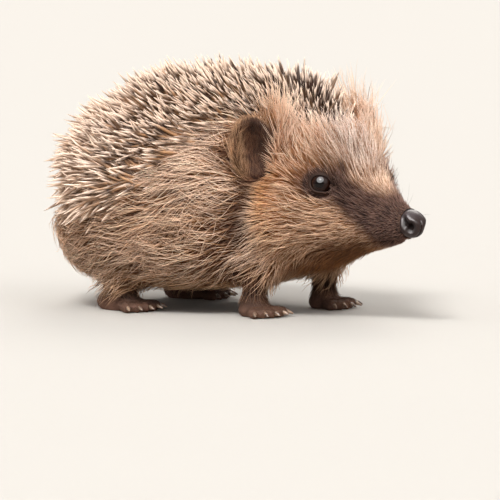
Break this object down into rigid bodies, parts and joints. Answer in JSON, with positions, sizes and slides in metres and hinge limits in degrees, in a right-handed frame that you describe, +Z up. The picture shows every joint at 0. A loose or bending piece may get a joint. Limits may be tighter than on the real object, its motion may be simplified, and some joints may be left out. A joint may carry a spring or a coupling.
{
  "type": "young hedgehog, standing",
  "caption": "Standing young hedgehog with a spiny back, long-haired flanks, a pointed dark muzzle and its head turned to its right, on short legs with clawed feet.",
  "frame": {"origin": "on the ground, under the centre of the bounding box", "axes": "+X along the trunk towards the head, +Z up, +Y to the left side of the animal"},
  "size_m": [0.1372, 0.078, 0.0764],
  "materials": {
    "spines": "cream spines with dark bands over dark skin",
    "fur": "long coarse beige and brown hair",
    "muzzle": "very short dark brown hair",
    "nose": "wet black skin",
    "eye": "wet, near black",
    "ear": "dark skin under short soft hair",
    "foot": "bare brown skin with short sparse hair",
    "claw": "horn"
  },
  "bodies": {
    "root": {"head": "fur", "lower_jaw": "muzzle", "nose": "nose", "neck": "spines", "trunk": "spines", "tail": "fur", "eye_left": "eye", "ear_left": "ear", "foreleg_left": "fur", "forefoot_left": "foot", "foreclaw_left_1": "claw", "foreclaw_left_2": "claw", "foreclaw_left_3": "claw", "foreclaw_left_4": "claw", "foreclaw_left_5": "claw", "hindleg_left": "fur", "hindfoot_left": "foot", "hindclaw_left_1": "claw", "hindclaw_left_2": "claw", "hindclaw_left_3": "claw", "hindclaw_left_4": "claw", "hindclaw_left_5": "claw", "eye_right": "eye", "ear_right": "ear", "foreleg_right": "fur", "forefoot_right": "foot", "foreclaw_right_1": "claw", "foreclaw_right_2": "claw", "foreclaw_right_3": "claw", "foreclaw_right_4": "claw", "foreclaw_right_5": "claw", "hindleg_right": "fur", "hindfoot_right": "foot", "hindclaw_right_1": "claw", "hindclaw_right_2": "claw", "hindclaw_right_3": "claw", "hindclaw_right_4": "claw", "hindclaw_right_5": "claw"}
  },
  "joints": []
}
